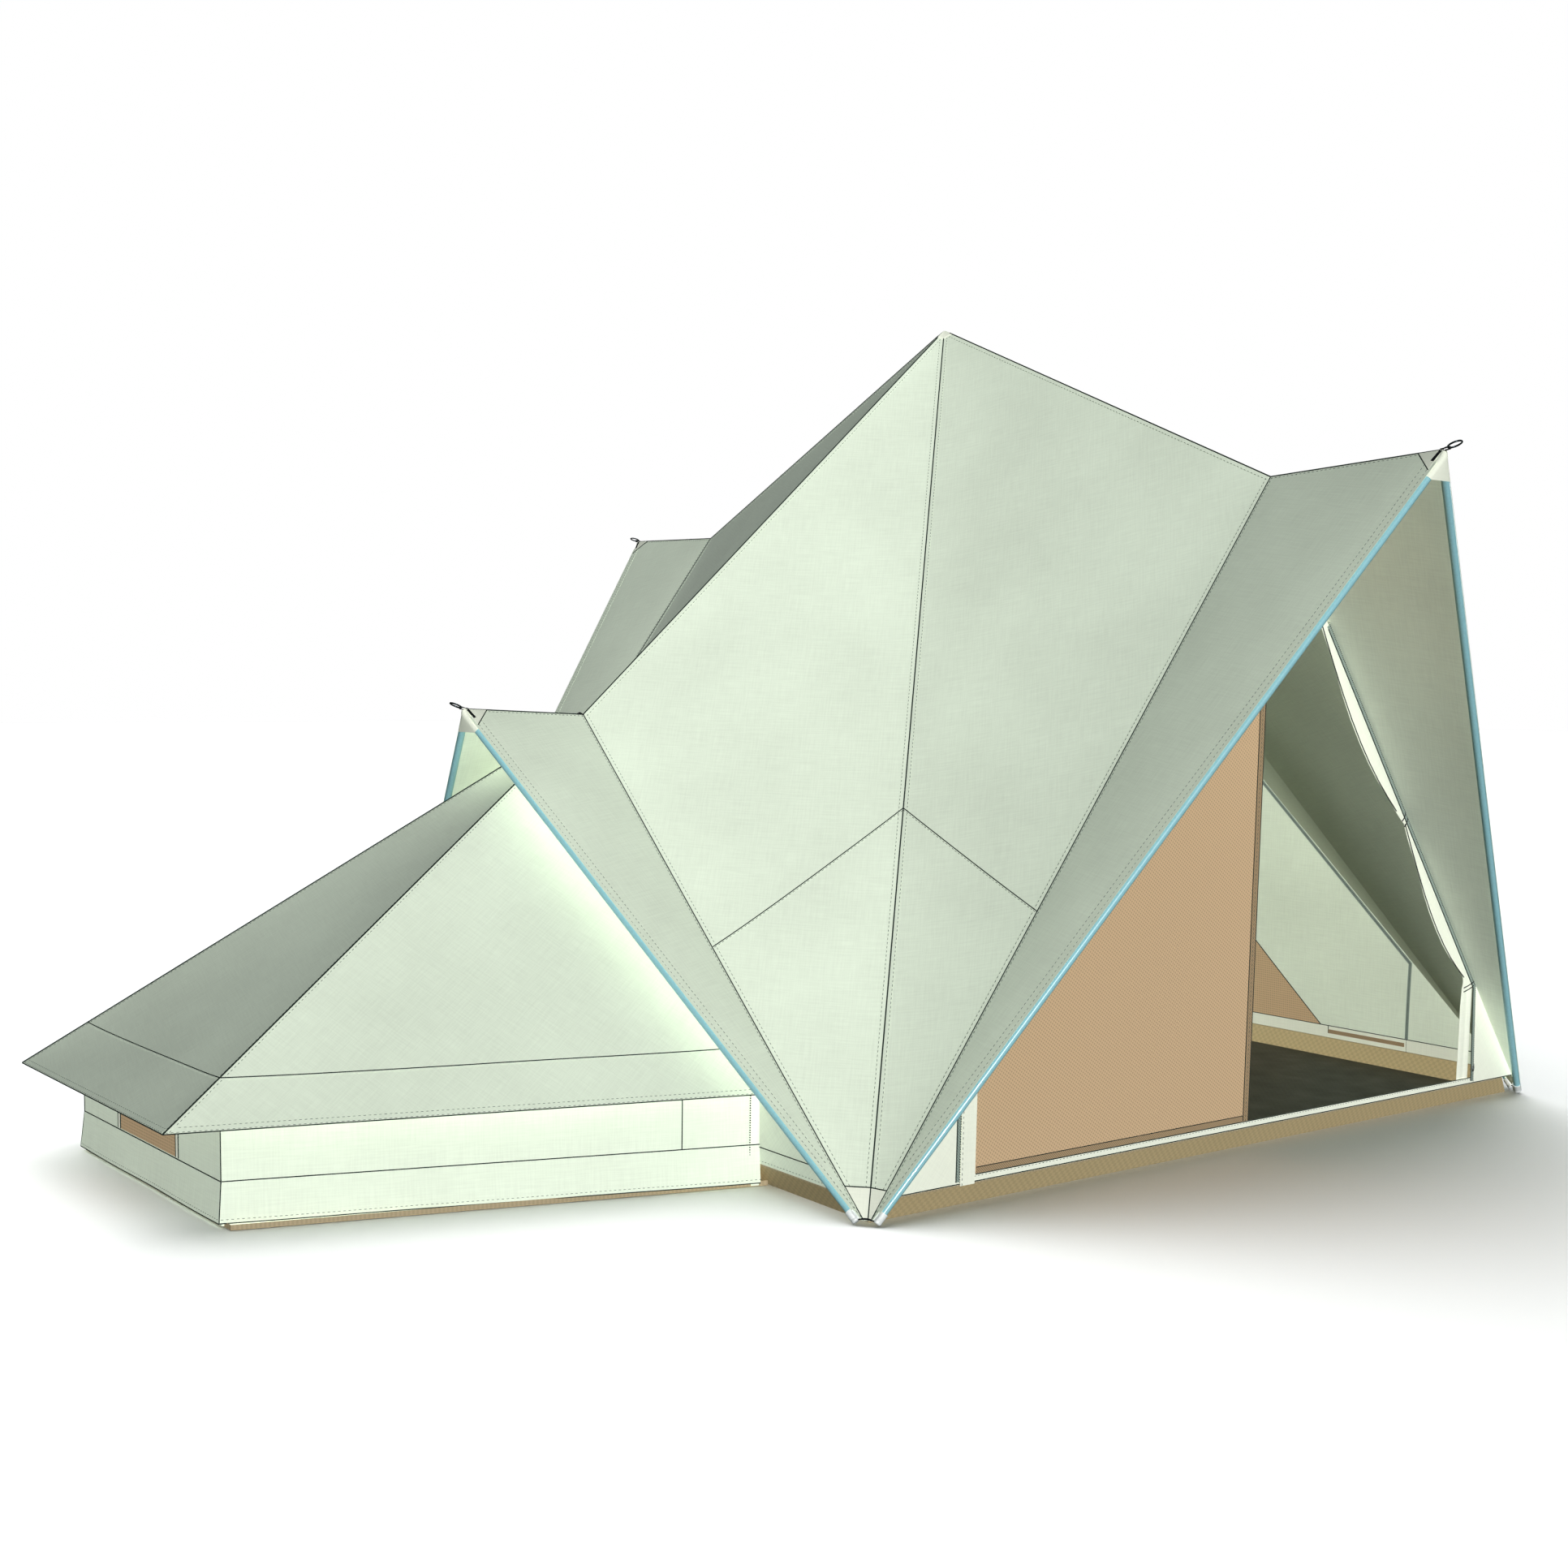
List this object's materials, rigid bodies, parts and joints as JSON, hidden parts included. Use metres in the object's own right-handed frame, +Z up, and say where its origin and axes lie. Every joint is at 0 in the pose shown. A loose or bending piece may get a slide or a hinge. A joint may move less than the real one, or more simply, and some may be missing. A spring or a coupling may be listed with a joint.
{
  "type": "a-frame pyramid tent",
  "caption": "Pyramid tent on a centre pole and outward-leaning A-frames that form porches, with a half-open mesh door and a low hipped annexe",
  "frame": {"origin": "on the ground under the middle of the main groundsheet", "axes": "+Z up; -Y out of the door; -X towards the annexe, along the longest extent"},
  "size_m": [5.2513, 4.1006, 2.726],
  "materials": {
    "canvas_roof": "woven polycotton canvas",
    "canvas_porch": "woven polycotton canvas",
    "canvas_wall": "woven polycotton canvas",
    "insect_mesh": "fine knitted mesh",
    "groundsheet": "coated ground fabric",
    "pole_tube": "anodised",
    "white_plastic": "moulded",
    "webbing": "woven webbing",
    "ring_metal": "black coated",
    "zip_metal": "satin",
    "rubber": "matte",
    "black_plastic": "moulded"
  },
  "bodies": {
    "tent": {"roof_front_left": "canvas_roof", "roof_front_right": "canvas_roof", "roof_back_left": "canvas_roof", "roof_back_right": "canvas_roof", "roof_left_front": "canvas_roof", "roof_left_back": "canvas_roof", "roof_right_front": "canvas_roof", "roof_right_back": "canvas_roof", "annexe_roof_front": "canvas_roof", "annexe_roof_end": "canvas_roof", "annexe_roof_back": "canvas_roof", "porch_front_left": "canvas_porch", "porch_front_right": "canvas_porch", "porch_back_left": "canvas_porch", "porch_back_right": "canvas_porch", "porch_left_front": "canvas_porch", "porch_left_back": "canvas_porch", "porch_right_front": "canvas_porch", "porch_right_back": "canvas_porch", "front_wall": "canvas_wall", "back_wall": "canvas_wall", "left_wall": "canvas_wall", "right_wall": "canvas_wall", "annexe_wall_front": "canvas_wall", "annexe_wall_back": "canvas_wall", "annexe_wall_end": "canvas_wall", "door_flap_folded": "canvas_wall", "annexe_window_mesh": "insect_mesh", "groundsheet": "groundsheet", "annexe_groundsheet": "groundsheet", "leg_front_left": "pole_tube", "leg_front_right": "pole_tube", "leg_back_left": "pole_tube", "leg_back_right": "pole_tube", "leg_left_front": "pole_tube", "leg_left_back": "pole_tube", "leg_right_front": "pole_tube", "leg_right_back": "pole_tube", "pole_lower_tube": "pole_tube", "foot_front_left": "white_plastic", "foot_front_right": "white_plastic", "foot_back_left": "white_plastic", "foot_back_right": "white_plastic", "knuckle_front": "white_plastic", "knuckle_back": "white_plastic", "knuckle_left": "white_plastic", "knuckle_right": "white_plastic", "guy_tab_front": "webbing", "guy_tab_back": "webbing", "guy_tab_left": "webbing", "guy_tab_right": "webbing", "pole_foot": "rubber", "pole_clamp_collar": "black_plastic"},
    "pole_upper": {"pole_upper_tube": "pole_tube"},
    "door": {"door_mesh_panel": "insect_mesh"},
    "zip_slider": {"door_zip_slider": "zip_metal"},
    "ring_front": {"guy_ring_front": "ring_metal"},
    "ring_back": {"guy_ring_back": "ring_metal"},
    "ring_left": {"guy_ring_left": "ring_metal"},
    "ring_right": {"guy_ring_right": "ring_metal"}
  },
  "joints": [
    {"name": "ring_front_swing", "type": "hinge", "parent": "tent", "child": "ring_front", "pos_m": [0, -2.0133, 2.09968], "axis": [-1, 0, 0], "range_deg": [-110, 50]},
    {"name": "ring_back_swing", "type": "hinge", "parent": "tent", "child": "ring_back", "pos_m": [0, 2.0133, 2.09968], "axis": [1, 0, 0], "range_deg": [-110, 50]},
    {"name": "ring_left_swing", "type": "hinge", "parent": "tent", "child": "ring_left", "pos_m": [-1.9943, 0, 1.36168], "axis": [0, 1, 0], "range_deg": [-110, 50]},
    {"name": "ring_right_swing", "type": "hinge", "parent": "tent", "child": "ring_right", "pos_m": [1.9943, 0, 1.36168], "axis": [0, -1, 0], "range_deg": [-110, 50]},
    {"name": "pole_telescope", "type": "slide", "parent": "tent", "child": "pole_upper", "axis": [0, 0, 1], "range_m": [-0.4, 0]},
    {"name": "door_swing", "type": "hinge", "parent": "tent", "child": "door", "pos_m": [-0.768, -1.429, 1.0365], "axis": [-0.5953, 0.0054, -0.8035], "range_deg": [0, 75]},
    {"name": "zip_slide", "type": "slide", "parent": "tent", "child": "zip_slider", "axis": [0, -0.0068, 1], "range_m": [0, 0.24]}
  ]
}
